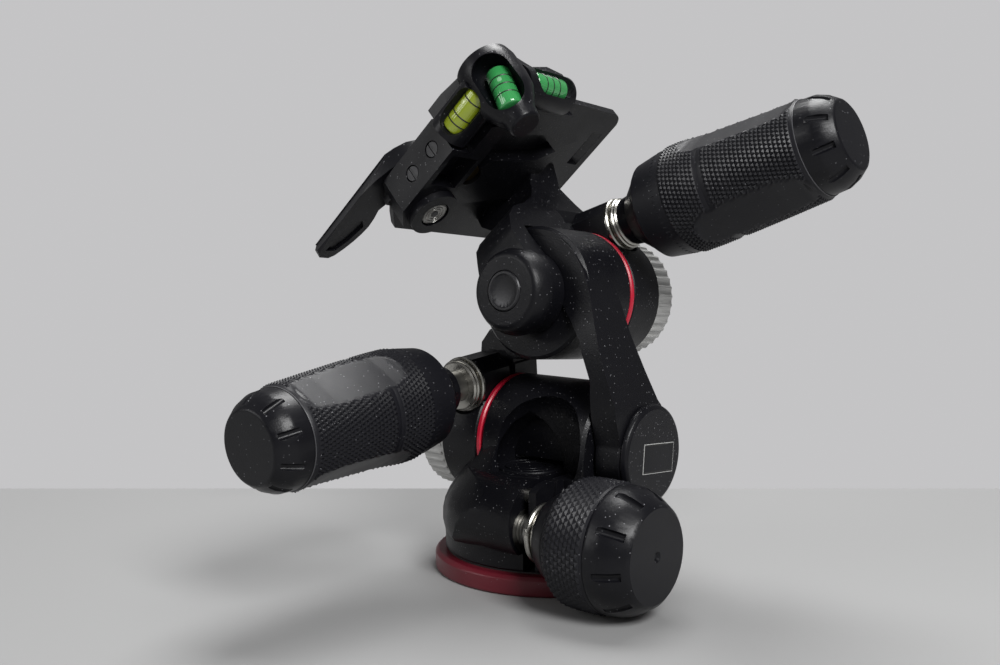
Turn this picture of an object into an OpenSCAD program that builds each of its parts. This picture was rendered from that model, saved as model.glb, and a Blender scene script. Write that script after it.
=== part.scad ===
// Three way pan and tilt photo head with clamped axes and telescoping handles.
// Millimetres. The origin is the centre of the base's underside, +Z up.
// Lower axis: along X, the round side cover at +X. Upper axis: along Y in the arm's frame.

/* [Pose] */
// backward lean of the arm about the lower axis in the rest pose, degrees
pose_front = 5.2; // [0:0.1:10]
// roll of the platform about the upper axis in the rest pose, degrees
pose_side = 44; // [30:0.5:50]
// how far the lower handle is pulled out in the rest pose
pose_reach_lower = 5; // [0:0.5:12]
// how far the upper handle is pulled out in the rest pose
pose_reach_upper = 0; // [0:0.5:12]

/* [Base] */
// base disc diameter
base_d = 60; // [56:0.5:64]
// base disc thickness
base_h = 5; // [4:0.5:6]
// major diameter of the tripod thread
thread_d = 9.525; // [9.525:0.001:9.525]
// depth of the tripod thread
thread_depth = 12; // [9:0.5:13]
// diameter of the spindle the pan housing turns on
spindle_d = 34.2; // [33:0.1:35]
// diameter of the spindle's neck under its retaining screw
neck_d = 19; // [18:0.1:19.2]
// top of the spindle above the base's underside
spindle_top = 21.6; // [20:0.2:22]

/* [Pan housing] */
// diameter of the housing's lower ring
ring_d = 54.6; // [53:0.2:56]
// diameter of the housing's belly
belly_d = 56; // [54:0.2:57]
// height of the lower axis above the base's underside
axis_z = 33; // [32:0.5:35]
// diameter of the barrel round a tilt axis
barrel_d = 33.4; // [32:0.2:34]
// height of the pan clamp screw
pan_screw_z = 15.8; // [15.6:0.1:16.4]
// distance of the pan clamp screw in front of the pan axis
pan_screw_y = 23.8; // [23:0.1:25]

/* [Tilt axes] */
// distance from the lower axis up to the upper one
arm_h = 38; // [37:0.5:42]
// sideways place of the upper axis
upper_x = 3; // [1:0.5:4]
// start of the red ring from the lower axis's middle
lower_ring_w = 9.9; // [9.5:0.1:10.5]
// start of the red ring from the upper axis's middle
upper_ring_w = 4.6; // [4:0.1:5]
// thickness of the red friction ring
ring_t = 1.4; // [1:0.1:1.8]
// width of the clamp collar
collar_w = 12.2; // [11:0.2:13]
// clamp collar diameter
collar_d = 32.8; // [32:0.2:33.4]
// diameter of the hub that the collar clamps
hub_d = 23; // [21:0.2:24]
// tilt shaft diameter
shaft_d = 8; // [7:0.1:8.5]
// friction wheel diameter
wheel_d = 30.6; // [29:0.2:31]
// friction wheel width
wheel_w = 8.4; // [8:0.2:9]
// number of flutes round a friction wheel
wheel_flutes = 40; // [36:1:44]

/* [Handles] */
// distance of a clamp screw from its tilt axis
clamp_off = 15.8; // [15.4:0.1:16.2]
// clamp screw diameter
screw_d = 8; // [7:0.1:8]
// largest diameter of a grip
grip_d = 27.4; // [26:0.2:28]
// length of a grip from its washers to the end face
grip_len = 63; // [60:1:68]
// how far a grip pulls out in all
grip_reach = 24; // [20:1:26]
// how far the lower handle points below the arm's own level, degrees
lower_handle_dip = 10.3; // [8:0.1:12]
// how far the upper handle rises above the level in the rest pose, degrees
upper_handle_rise = 19; // [15:0.5:24]
// width of the slot of a split clamp
slot_w = 2.4; // [2:0.1:3]

/* [Platform] */
// height of the platform's floor above the upper axis
floor_n = 43.2; // [42:0.2:44]
// thickness of the platform's floor
floor_t = 2.2; // [2:0.1:3]
// platform edge opposite the level corner
plat_a0 = -20.5; // [-22:0.5:-20]
// platform edge on the level side
plat_a1 = 30.5; // [30:0.5:32]
// platform edge on the lever side
plat_b0 = -32; // [-33:0.5:-31.5]
// platform edge on the fixed jaw side
plat_b1 = 30; // [29.5:0.5:31]
// vial diameter
vial_d = 6.2; // [5.8:0.1:6.6]
// vial length
vial_len = 12; // [11:0.5:13]

/* [Hidden] */
$fn = 64;
run = 0.05;
seat = 0.02;
ring_top = base_h + 0.4;
foot_top = axis_z - barrel_d / 2 - 2.9;
barrel_x1 = 22.4;
collar0 = ring_t + 0.15;
collar1 = collar0 + collar_w;
wheel0 = collar1 + 0.3;
wheel1 = wheel0 + wheel_w;
hub1 = collar1 - 0.2;
lower_tip = 30;
ear_back = 10.5;
ear_front = 12;
washer_len = 3.4;
grip0 = ear_front + 0.2 + washer_len;
deck_n = floor_n - floor_t;
jaw_n = floor_n + 4.6;
house_n0 = 34;
house_n1 = 45;
pivot_a = -6.5;
pivot_b = -23;
niche_floor = 27.6;
niche_x = 8.8;
niche_z = axis_z + 2;
niche_r = 12.8;
boss_y = -20.6;
boss_z = 17.6;
boss_r = 9.9;
slot_x0 = 11;
slot_x1 = 13.6;
ear_r = 10.9;
grip_end = grip_len - 11.3;
pin_y = -22.8;
pin_z = 24;
pin_r = 1.75;
tower_a = 30.6;
tower_b = -26.6;
tower_r = 7.9;

black = [0.05, 0.05, 0.06];
rubber = [0.08, 0.08, 0.09];
crimson = [0.70, 0.05, 0.12];
dark_red = [0.42, 0.07, 0.12];
silver = [0.72, 0.72, 0.70];
steel = [0.60, 0.60, 0.60];
pale_grey = [0.70, 0.70, 0.68];
vial_green = [0.45, 0.80, 0.35];

// ---- frames -------------------------------------------------------------

// the arm's frame: origin on the lower axis, leaning with the arm
module arm_frame() {
    translate([0, 0, axis_z])
        rotate([-pose_front, 0, 0])
            children();
}

// a frame whose +Z runs along the lower axis towards its friction wheel (-X), +X up
module lower_frame() {
    arm_frame()
        rotate([0, -90, 0])
            children();
}

// a frame whose +Z runs along the upper axis towards its friction wheel (+Y), +X sideways
module upper_frame() {
    arm_frame()
        translate([upper_x, 0, arm_h])
            rotate([-90, 0, 0])
                children();
}

// the platform's frame: a across, b along the upper axis, n up from the axis
module platform_frame() {
    arm_frame()
        translate([upper_x, 0, arm_h])
            rotate([0, -pose_side, 0])
                children();
}

// the clamp's frame: +X along the handle, +Y away from the axis, +Z along the axis
module lower_clamp_frame() {
    lower_frame()
        translate([0, 0, lower_ring_w])
            rotate([0, 0, -90 - lower_handle_dip])
                children();
}

module upper_clamp_frame() {
    upper_frame()
        translate([0, 0, upper_ring_w])
            rotate([0, 0, -upper_handle_rise])
                mirror([0, 1, 0])
                    children();
}

// ---- parts both tilt axes share ------------------------------------------

// a tapered ring or disc about Z, given radii at its two ends
module chamfered(r, h, c) {
    rotate_extrude()
        polygon([[0, 0], [r - c, 0], [r, c], [r, h - c], [r - c, h], [0, h]]);
}

module tube(r_out, r_in, h) {
    difference() {
        cylinder(r = r_out, h = h);
        translate([0, 0, -1])
            cylinder(r = r_in, h = h + 2);
    }
}

// friction ring between the barrel and the clamp collar
module friction_ring() {
    difference() {
        chamfered(barrel_d / 2 - 0.1, ring_t, 0.3);
        translate([0, 0, -1])
            cylinder(d = hub_d + 0.2, h = ring_t + 2);
    }
}

// the hub that the collar squeezes, keyed to the shaft
module clamp_hub() {
    difference() {
        rotate_extrude()
            polygon([[shaft_d / 2 + seat, 0.02], [hub_d / 2, 0.02], [hub_d / 2, hub1 - 0.6],
                [hub_d / 2 - 0.6, hub1], [shaft_d / 2 + seat, hub1]]);
        for (a = [0, 120, 240])
            rotate([0, 0, a])
                translate([shaft_d / 2 + 3.6, 0, -1])
                    cylinder(d = 2.6, h = 7, $fn = 24);
    }
}

// clamp collar with its two ears, about the tilt axis, before clamp_cuts() opens it
module split_collar() {
    translate([0, 0, collar0])
        chamfered(collar_d / 2, collar_w, 0.6);
    intersection() {
        union() {
            translate([-ear_back, clamp_off, collar0 + collar_w / 2])
                rotate([0, 90, 0])
                    rotate([0, 0, 22.5])
                        cylinder(r = 7.1, h = ear_back + ear_front, $fn = 8);
            translate([-ear_back, 0, collar0])
                cube([ear_back + ear_front, clamp_off + 2, collar_w]);
        }
        translate([-20, -20, collar0])
            cube([40, 60, collar_w]);
        union() {
            translate([-ear_back - 1, 1, collar0 - 1])
                cube([ear_back + 7.5, clamp_off + 9, collar_w + 2]);
            translate([0, clamp_off, collar0 + collar_w / 2])
                rotate([0, 90, 0])
                    cylinder(r1 = 11, r2 = 7, h = ear_front);
        }
    }
}

// disc springs and thrust washer under the friction wheel
module spring_stack() {
    translate([0, 0, collar1 + 0.05])
        tube(13.4, shaft_d / 2 + 0.1, 1.1);
    translate([0, 0, collar1 + 1.2])
        difference() {
            cylinder(r1 = 9, r2 = 7.4, h = 0.9);
            translate([0, 0, -1])
                cylinder(d = shaft_d + 0.4, h = 3);
        }
    translate([0, 0, collar1 + 2.15])
        difference() {
            cylinder(r1 = 7.4, r2 = 9, h = 0.9);
            translate([0, 0, -1])
                cylinder(d = shaft_d + 0.4, h = 3);
        }
}

// friction wheel with flutes round its rim
module friction_wheel() {
    difference() {
        union() {
            translate([0, 0, wheel0])
                chamfered(wheel_d / 2 - 0.3, 1.4, 0.3);
            translate([0, 0, wheel0 + 1.2])
                intersection() {
                    linear_extrude(height = wheel_w - 1.2)
                        difference() {
                            circle(d = wheel_d, $fn = 96);
                            for (i = [0:wheel_flutes - 1])
                                rotate([0, 0, i * 360 / wheel_flutes])
                                    translate([wheel_d / 2 + 0.55, 0])
                                        circle(r = 1.15, $fn = 24);
                        }
                    rotate_extrude()
                        polygon([[0, 0], [wheel_d / 2 + 1, 0], [wheel_d / 2 + 1, wheel_w - 3],
                            [wheel_d / 2 - 0.9, wheel_w - 1.2], [0, wheel_w - 1.2]]);
                }
        }
        translate([0, 0, wheel0 - 1])
            cylinder(r = 13.7, h = 2.2);
        translate([0, 0, wheel0])
            cylinder(r = 9.4, h = 3.2);
        translate([0, 0, wheel0 - 1])
            cylinder(d = shaft_d + 2 * run, h = wheel_w + 3);
        translate([0, 0, wheel1 - 1.2])
            difference() {
                cylinder(r = 11.6, h = 3);
                translate([0, 0, -1])
                    cylinder(r = 6.4, h = 5);
            }
    }
}

// hexagon nut of a clamp screw, in the rear ear
module clamp_nut() {
    translate([-ear_back + 0.1, clamp_off, collar0 + collar_w / 2])
        rotate([0, 90, 0])
            difference() {
                rotate([0, 0, 30])
                    cylinder(r = 6.4, h = 3.4, $fn = 6);
                translate([0, 0, -1])
                    cylinder(d = screw_d + 2 * run, h = 7);
            }
}

// ---- handle parts, along +X from the ear's face ---------------------------

module at_handle() {
    translate([0, clamp_off, collar0 + collar_w / 2])
        rotate([0, 90, 0])
            children();
}

// clamp screw and the stem that carries the grip
module stem(reach) {
    difference() {
        union() {
            translate([0, 0, -ear_back + 0.4])
                chamfered(screw_d / 2, ear_back + grip0 + grip_end - 11.7, 0.5);
            translate([0, 0, grip0 - washer_len - 0.1])
                cylinder(d = screw_d + 3, h = 0.8);
        }
        for (i = [0:7])
            translate([0, 0, -3.3 + i * 0.95])
                rotate_extrude()
                    polygon([[screw_d / 2 - 0.45, 0.3], [screw_d / 2 + 1, -0.2],
                        [screw_d / 2 + 1, 0.8]]);
    }
}

// silver washers between the ear and the grip
module washers() {
    difference() {
        union() {
            translate([0, 0, ear_front + 0.12])
                chamfered(7.2, 1.2, 0.3);
            translate([0, 0, ear_front + 1.3])
                chamfered(6.4, 2.3, 0.4);
            translate([0, 0, ear_front + 2])
                chamfered(6.8, 0.8, 0.3);
        }
        translate([0, 0, ear_front - 1])
            cylinder(d = screw_d + 3.1, h = 2.05);
        translate([0, 0, ear_front - 1])
            cylinder(d = screw_d + 0.1, h = 8);
    }
}

// place along the rubber sleeve, from its inner end at 0 to its outer one at 1
function along(f) = 8.6 + f * (grip_end - 8.7);

// outline of the rubber sleeve, from its inner end
function sleeve_outline(r) = [[9.5, along(0)], [r - 1.9, along(0)], [r - 1.1, along(0.02)],
    [r - 0.35, along(0.13)], [r, along(0.21)], [r - 0.05, along(0.36)], [r - 0.45, along(0.59)],
    [r - 1.1, along(0.82)], [r - 1.75, along(1)], [9.5, along(1)]];

// rigid body of a grip: cone at the inner end and a core under the sleeve
module grip_body() {
    difference() {
        rotate_extrude()
            polygon([[0, 0], [5.8, 0], [6.3, 0.5], [6.7, 3], [11.2, 8.2], [11.2, 8.55],
                [9.45, 8.55], [9.45, grip_end], [0, grip_end]]);
        translate([0, 0, -1])
            cylinder(d = screw_d + 2 * run, h = grip_end - 5.7);
    }
}

// smooth scallops that a thumb and two fingers rest in
module scallops(r) {
    for (a = [90, 210, 330])
        rotate([0, 0, a])
            translate([r + 60.3, 0, along(0.53)])
                rotate([90, 0, 0])
                    cylinder(r = 62, h = 60, center = true, $fn = 128);
}

module sleeve() {
    difference() {
        rotate_extrude()
            polygon(sleeve_outline(grip_d / 2));
        translate([0, 0, -1])
            cylinder(r = 9.48, h = grip_len);
        scallops(grip_d / 2);
    }
}

// notched end cap
module grip_cap(r, z0, z1) {
    difference() {
        rotate_extrude()
            polygon([[0, z0 + 0.05], [r, z0 + 0.05], [r, z0 + 1.2], [r - 0.35, z1 - 5],
                [r - 1.4, z1 - 2.6], [r - 3.1, z1 - 0.4], [r - 3.8, z1], [0, z1]]);
        for (i = [0:8])
            rotate([0, 0, i * 40 + 20])
                translate([r + 0.3, 0, z1 - 5.8])
                    rotate([0, -30, 0])
                        cylinder(r = 0.85, h = 5.4, $fn = 16);
    }
}

// ---- base and pan --------------------------------------------------------

module base_disc() {
    color(dark_red)
        difference() {
            rotate_extrude()
                polygon([[10.1, 0], [base_d / 2 - 0.5, 0], [base_d / 2, 0.5],
                    [base_d / 2, base_h - 0.9], [base_d / 2 - 0.9, base_h], [10.1, base_h]]);
            translate([0, 0, base_h - 1])
                cylinder(r = spindle_d / 2 - 1.5, h = 2);
            for (a = [30, 150, 270])
                rotate([0, 0, a])
                    translate([22, 0, -1])
                        cylinder(d = 4.2, h = 3.2, $fn = 24);
        }
}

// steel spindle with the tripod thread in its foot
module pan_spindle() {
    color(silver)
        difference() {
            rotate_extrude()
                polygon([[0, 0], [9.6, 0], [10.05, 0.5], [10.05, base_h - 0.95],
                    [spindle_d / 2 - 1.6, base_h - 0.95], [spindle_d / 2 - 1.6, base_h + 0.05],
                    [spindle_d / 2, base_h + 0.05], [spindle_d / 2, 8.2],
                    [spindle_d / 2 - 0.8, 8.8], [spindle_d / 2 - 0.8, 10.4],
                    [spindle_d / 2, 11], [spindle_d / 2, foot_top - 0.6],
                    [spindle_d / 2 - 0.6, foot_top], [neck_d / 2, foot_top],
                    [neck_d / 2, spindle_top - 0.6], [neck_d / 2 - 0.6, spindle_top],
                    [0, spindle_top]]);
            translate([0, 0, -1])
                cylinder(d = thread_d, h = thread_depth + 1);
            translate([0, 0, 15])
                cylinder(d = 6 - 0.04, h = 20);
        }
}

module slip_ring() {
    color(rubber)
        translate([0, 0, base_h + 0.02])
            tube(ring_d / 2 - 0.5, spindle_d / 2 + 0.3, 0.36);
}

// profile of the pan housing's turned body: ring, full belly and sloping shoulder
module housing_belly() {
    rotate_extrude()
        polygon([[0, ring_top], [ring_d / 2 - 0.5, ring_top], [ring_d / 2, ring_top + 0.5],
            [ring_d / 2, 9.2], [belly_d / 2 - 0.5, 10.4], [belly_d / 2, 12.6],
            [belly_d / 2, 15.4], [belly_d / 2 - 0.5, 17.8], [belly_d / 2 - 1.6, 20.2],
            [belly_d / 2 - 3.4, 22.9], [belly_d / 2 - 5, 25.6], [belly_d / 2 - 6.7, 28.2],
            [belly_d / 2 - 9.2, 31.8], [belly_d / 2 - 11, 34], [0, 34]]);
}

// front ears of the pan clamp: a boss along X whose left end rounds into the belly
module clamp_boss() {
    intersection() {
        translate([-24, boss_y, boss_z])
            rotate([0, 90, 0])
                cylinder(r = boss_r, h = 39.8, $fn = 96);
        union() {
            translate([4.5, -3.1, 0])
                rotate_extrude($fn = 96)
                    polygon([[0, 10], [27.6, 10], [28.6, 11.4], [29, 13], [29, 15.8],
                        [28.5, 18.4], [27.4, 20.6], [25.8, 23], [22.4, 28.2], [0, 28.2]]);
            translate([4.5, -40, 10])
                cube([20, 40, 30]);
        }
    }
}

// clear space that the lower collar, its ears and its wheel turn in
module collar_sweep() {
    translate([-collar1 - lower_ring_w - 15, 0, axis_z])
        rotate([0, 90, 0])
            cylinder(r = barrel_d / 2 + 0.6, h = collar1 + 15 - 0.02);
}

module pan_housing() {
    color(black)
        difference() {
            union() {
                difference() {
                    union() {
                        housing_belly();
                        clamp_boss();
                        // saddle between the belly and the barrel
                        translate([-9.7, -16.2, 12])
                            cube([barrel_x1 + 9.7, 32.4, axis_z - 12]);
                        intersection() {
                            translate([-9.7, 0, 21.5])
                                rotate([0, 90, 0])
                                    cylinder(r = 19.6, h = 26.2);
                            translate([-10, -20, 12])
                                cube([28, 40, 40]);
                        }
                    }
                    collar_sweep();
                    // flat side beside the arm's long leg
                    translate([barrel_x1, -19, 20.1])
                        cube([20, 60, 30]);
                }
                // barrel of the lower axis
                translate([-9.7, 0, axis_z])
                    rotate([0, 90, 0])
                        chamfered(barrel_d / 2, barrel_x1 + 9.7, 0.8);
            }
            // bore the spindle is clamped in
            translate([0, 0, -1])
                cylinder(d = spindle_d + 2 * run, h = foot_top + 1.1);
            translate([0, 0, 5])
                cylinder(d = neck_d + 2 * run, h = spindle_top - 4.8);
            // room for the retaining screw under the cover
            translate([0, 0, 20])
                cylinder(d = 13, h = 5.2);
            // scallop behind, for the upper collar and wheel at full lean
            for (lean = [70, 75, 80, 85, 90])
                translate([0, 0, axis_z])
                    rotate([-lean, 0, 0])
                        translate([upper_x, upper_ring_w + 0.5, arm_h])
                            rotate([-90, 0, 0])
                                cylinder(r = barrel_d / 2 + 0.5, h = wheel1 + 0.5);
            // room behind for the ears of the lower collar at full tilt
            intersection() {
                translate([-30, 0, axis_z])
                    rotate([0, 90, 0])
                        cylinder(r = 22.4, h = 18.8);
                translate([-40, 8, 22.5])
                    cube([40, 40, 40]);
            }
            // lower shaft's bore
            translate([-20, 0, axis_z])
                rotate([0, 90, 0])
                    cylinder(d = shaft_d + 2 * seat, h = 60);
            // niche: a round tunnel with a dished back over a flat floor
            intersection() {
                translate([niche_x, 0, niche_z])
                    rotate([90, 0, 0])
                        rotate_extrude($fn = 96)
                            polygon([[0, 6.2], [niche_r - 7, 6.6], [niche_r - 3.6, 7.8],
                                [niche_r - 1.4, 9.8], [niche_r - 0.3, 12.6], [niche_r, 16],
                                [niche_r, 32], [0, 32]]);
                translate([-30, -40, niche_floor])
                    cube([60, 40, 40]);
            }
            // tapered room over the cover disc
            intersection() {
                translate([1.2, -10, niche_floor])
                    rotate_extrude()
                        polygon([[0, 0], [9.2, 0], [9.2, 3], [7.8, 6.6], [4.6, 11], [0, 15]]);
                translate([-20, -40, niche_floor])
                    cube([40, 34.1, 30]);
            }
            translate([1.2, -10, niche_floor])
                cylinder(r = 9.2, h = 0.8);
            // seat of the cover disc
            translate([1.2, -10, niche_floor - 1.2])
                cylinder(r = 8.6, h = 3);
            // split of the pan clamp
            translate([slot_x0, -40, -1])
                cube([slot_x1 - slot_x0, 32, niche_floor + 4]);
            // the right ear is cut back, so the screw shows in the split
            translate([slot_x0 + 0.5, -40, -1])
                cube([10, 13.8, 40]);
            // hole of the dowel that keeps the split's two sides level
            translate([4, pin_y, pin_z])
                rotate([0, 90, 0])
                    cylinder(r = pin_r + seat, h = 11.6);
            // clamp screw's hole, the bush's seat and the dished face under washers and knob
            translate([2.6, -pan_screw_y, pan_screw_z])
                rotate([0, 90, 0])
                    cylinder(d = screw_d + 0.4, h = 27.4);
            translate([15.85, -pan_screw_y, pan_screw_z])
                rotate([0, 90, 0])
                    rotate_extrude()
                        polygon([[0, 0], [8.2, 0], [8.2, 3.6], [10.2, 3.6], [11.4, 5.2],
                            [13, 8.2], [14.2, 9.6], [16, 12], [16, 20], [0, 20]]);
            translate([4.4, -pan_screw_y, pan_screw_z])
                rotate([0, 90, 0])
                    cylinder(r = 5.2 + seat, h = 9);
        }
}

module pan_retainer() {
    color(steel)
        union() {
            translate([0, 0, spindle_top + 0.3])
                chamfered(6.1, 2.6, 0.4);
            translate([0, 0, 16])
                cylinder(d = 6 - 0.08, h = spindle_top - 15);
        }
}

module pan_cover() {
    color(black)
        translate([1.2, -10, niche_floor - 1.15])
            difference() {
                chamfered(8.55, 1.6, 0.3);
                translate([0, 0, 1.2])
                    tube(6.9, 6.3, 1);
                translate([0, 0, 1.2])
                    tube(4.2, 3.8, 1);
            }
}

module pan_axis() {
    translate([0, -pan_screw_y, pan_screw_z])
        rotate([0, 90, 0])
            children();
}

// pan clamp screw, its shank threaded where the split shows it
module pan_screw() {
    color(steel)
        pan_axis()
            difference() {
                translate([0, 0, 3])
                    chamfered(screw_d / 2, 39, 0.5);
                for (i = [0:13])
                    translate([0, 0, 4 + i * 0.95])
                        rotate_extrude()
                            polygon([[screw_d / 2 - 0.45, 0.3], [screw_d / 2 + 1, -0.2],
                                [screw_d / 2 + 1, 0.8]]);
            }
}

// threaded bush cast into the left ear, its mouth in the split
module pan_nut() {
    color(steel)
        pan_axis()
            translate([0, 0, 4.42])
                difference() {
                    cylinder(r = 5.2, h = 6.56);
                    translate([0, 0, -1])
                        cylinder(d = screw_d + 2 * run, h = 9);
                }
}

module pan_washers() {
    color(silver)
        pan_axis()
            difference() {
                union() {
                    translate([0, 0, 15.95])
                        chamfered(7.4, 1.2, 0.3);
                    translate([0, 0, 17.1])
                        chamfered(6.6, 1.5, 0.3);
                    translate([0, 0, 18.55])
                        chamfered(7.2, 1.0, 0.3);
                }
                translate([0, 0, 10])
                    cylinder(d = screw_d + 2 * run, h = 20);
            }
}

module pan_knob() {
    color(black)
        pan_axis()
            difference() {
                rotate_extrude()
                    polygon([[0, 19.7], [9.2, 19.7], [9.5, 20], [10.5, 21.4], [11.9, 24.1],
                        [11.9, 24.7], [9.5, 24.7], [9.5, 38.2], [0, 38.2]]);
                translate([0, 0, 15])
                    cylinder(d = screw_d + seat, h = 40);
            }
}

module pan_knob_sleeve() {
    color(rubber)
        pan_axis()
            difference() {
                rotate_extrude()
                    polygon([[9.52, 24.75], [12.2, 24.75], [13.9, 26.5], [14.9, 28],
                        [15.1, 30], [15.1, 37], [14.9, 38.1], [9.52, 38.1]]);
                for (a = [40, 160, 280])
                    rotate([0, 0, a])
                        translate([15.1 + 23.2, 0, 31])
                            rotate([90, 0, 0])
                                cylinder(r = 25, h = 40, center = true);
            }
}

module pan_knob_cap() {
    color(black)
        pan_axis()
            difference() {
                rotate_extrude()
                    polygon([[0, 42.2], [9.4, 42.2], [9.4, 38.25], [14.9, 38.25], [15.1, 39],
                        [14.8, 42], [13.9, 44.4], [11.9, 47.6], [11.0, 48.3], [1.3, 48.3],
                        [0.6, 47.7], [0, 47.7]]);
                for (i = [0:8])
                    rotate([0, 0, i * 40])
                        translate([15.5, 0, 41])
                            rotate([0, -27.5, 0])
                                cylinder(r = 1.0, h = 6.6, $fn = 16);
            }
}

// dowel across the split, above the clamp screw
module pan_pin() {
    color(silver)
        translate([4.1, pin_y, pin_z])
            rotate([0, 90, 0])
                chamfered(pin_r, 11.3, 0.3);
}

// ---- lower axis ----------------------------------------------------------

module lower_shaft() {
    color(steel)
        lower_frame()
            translate([0, 0, -29.2])
                chamfered(shaft_d / 2, 29.2 + lower_ring_w + wheel1 - 0.2, 0.5);
}

module lower_hub() {
    color(steel)
        lower_frame()
            translate([0, 0, lower_ring_w])
                clamp_hub();
}

module lower_ring() {
    color(crimson)
        lower_frame()
            translate([0, 0, lower_ring_w + 0.02])
                friction_ring();
}

module lower_springs() {
    color(steel)
        lower_frame()
            translate([0, 0, lower_ring_w])
                spring_stack();
}

module lower_wheel() {
    color(pale_grey)
        lower_frame()
            translate([0, 0, lower_ring_w])
                friction_wheel();
}

// curve of the long leg seen along Y: upright at the side boss, then straight to the barrel
module arm_curve() {
    polygon([[30.2, -14], [30.2, 8], [30, 12], [upper_x + 15.55, arm_h + 5.75],
        [upper_x + 12, arm_h + 10.6], [upper_x + 8, arm_h + 13.4], [upper_x - 1.4, arm_h + 14.4],
        [upper_x - 0.4, arm_h + 11], [upper_x + 1.4, arm_h + 7.6], [upper_x + 5, arm_h + 3.2],
        [upper_x + 9, arm_h - 1.5], [upper_x + 13, arm_h - 6.3], [19.2, 27],
        [21.2, 21.8], [22.9, 17.4], [22.9, -14]]);
}

// outline of the long leg seen along X
module arm_side() {
    union() {
        circle(r = 12.2, $fn = 96);
        polygon([[-12, 1.5], [-14.8, 9], [-15.8, 14], [-16.6, 24], [-16, 31], [-15.2, 37],
            [-15.2, 60], [-7, 60], [-6.2, 47], [-2.4, 37], [-1.2, 29], [1.4, 20.5], [4, 13.4],
            [8, 8], [12, 1.5]]);
    }
}

module arm() {
    color(black)
        arm_frame()
            difference() {
                union() {
                    intersection() {
                        translate([0, 30, 0])
                            rotate([90, 0, 0])
                                linear_extrude(height = 60)
                                    arm_curve();
                        rotate([90, 0, 90])
                            translate([0, 0, -20])
                                linear_extrude(height = 60)
                                    arm_side();
                    }
                    // upper barrel
                    translate([upper_x, 0, arm_h])
                        rotate([-90, 0, 0])
                            translate([0, 0, -14.6])
                                chamfered(barrel_d / 2, 14.6 + upper_ring_w - 0.1, 0.8);
                    // short leg down to the clamp collar
                    intersection() {
                        translate([-lower_ring_w - collar1 - 4, -2.6, 6])
                            cube([40, upper_ring_w + 2.3, arm_h - 6]);
                        rotate([90, 0, 0])
                            translate([0, 0, -20])
                                linear_extrude(height = 40)
                                    polygon([[-23.1, 9], [-11.9, 9], [-11.9, 20.2], [-9.6, 21],
                                        [-3, 21], [-1.4, 23.4], [6, 38], [-8, 38], [-13, 31],
                                        [-20.5, 27.5], [-23.1, 24]]);
                    }
                    rotate([0, -90, 0])
                        translate([0, 0, lower_ring_w])
                            rotate([0, 0, -90 - lower_handle_dip])
                                split_collar();
                    // side boss
                    translate([22.9, 0, 0])
                        rotate([0, 90, 0])
                            chamfered(12.6, 7.4, 0.5);
                }
                // room for the lower hub, slot, screw and nut
                rotate([0, -90, 0])
                    translate([0, 0, lower_ring_w])
                        rotate([0, 0, -90 - lower_handle_dip])
                            clamp_cuts();
                // barrel of the pan housing turns here
                translate([-lower_ring_w - 1.5, 0, 0])
                    rotate([0, 90, 0])
                        cylinder(d = barrel_d + 0.8, h = 22.7 + lower_ring_w + 1.5);
                // the platform's front ear turns before the barrel
                translate([upper_x, -30, arm_h])
                    rotate([-90, 0, 0])
                        cylinder(r = ear_r + 0.6, h = 14.6);
                // side boss bore and bolt recess
                translate([20, 0, 0])
                    rotate([0, 90, 0])
                        cylinder(d = shaft_d + 2 * run, h = 20);
                translate([26.4, 0, 0])
                    rotate([0, 90, 0])
                        cylinder(r = 9, h = 10);
                // upper shaft's bore
                translate([upper_x, -30, arm_h])
                    rotate([-90, 0, 0])
                        cylinder(d = shaft_d + 2 * seat, h = 60);
            }
}

// what a clamp's hub, slot, screw and nut take out of the casting round it
module clamp_cuts() {
    translate([0, 0, -0.6])
        cylinder(d = hub_d + 2 * run, h = collar1 + 4);
    translate([-slot_w / 2, hub_d / 2 - 2, -0.5])
        cube([slot_w, clamp_off - hub_d / 2 + 12, collar1 + 3]);
    translate([-ear_back - 12, clamp_off, collar0 + collar_w / 2])
        rotate([0, 90, 0])
            cylinder(d = screw_d + 0.4, h = 42);
    translate([-ear_back - 12, clamp_off, collar0 + collar_w / 2])
        rotate([0, 90, 0])
            rotate([0, 0, 30])
                cylinder(r = 6.5, h = 15.6, $fn = 6);
    translate([ear_front + 0.04, clamp_off, collar0 + collar_w / 2])
        rotate([0, 90, 0])
            cylinder(r = 7.7, h = 14);
}

module lower_bolt() {
    color(steel)
        arm_frame()
            translate([26.5, 0, 0])
                rotate([0, 90, 0])
                    difference() {
                        chamfered(8.4, 2.6, 0.5);
                        translate([0, 0, -1])
                            cylinder(d = shaft_d + 2 * seat, h = 3.8);
                    }
}

module side_cover() {
    color(black)
        arm_frame()
            translate([30.35, 0, 0])
                rotate([0, 90, 0])
                    rotate_extrude()
                        polygon([[0, 0], [12.4, 0], [12.6, 0.3], [12.2, 1.2], [11.4, 1.7], [0, 1.7]]);
}

module lower_nut() {
    color(steel)
        lower_clamp_frame()
            clamp_nut();
}

module lower_stem() {
    color(steel)
        lower_clamp_frame()
            at_handle()
                stem(pose_reach_lower);
}

module lower_washers() {
    color(silver)
        lower_clamp_frame()
            at_handle()
                washers();
}

module lower_grip() {
    color(black)
        lower_clamp_frame()
            at_handle()
                translate([0, 0, grip0 + pose_reach_lower])
                    grip_body();
}

module lower_sleeve() {
    color(rubber)
        lower_clamp_frame()
            at_handle()
                translate([0, 0, grip0 + pose_reach_lower])
                    sleeve();
}

module lower_grip_cap() {
    color(black)
        lower_clamp_frame()
            at_handle()
                translate([0, 0, grip0 + pose_reach_lower])
                    grip_cap(grip_d / 2 - 1.75, grip_end, grip_len);
}

// ---- upper axis ----------------------------------------------------------

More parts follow.
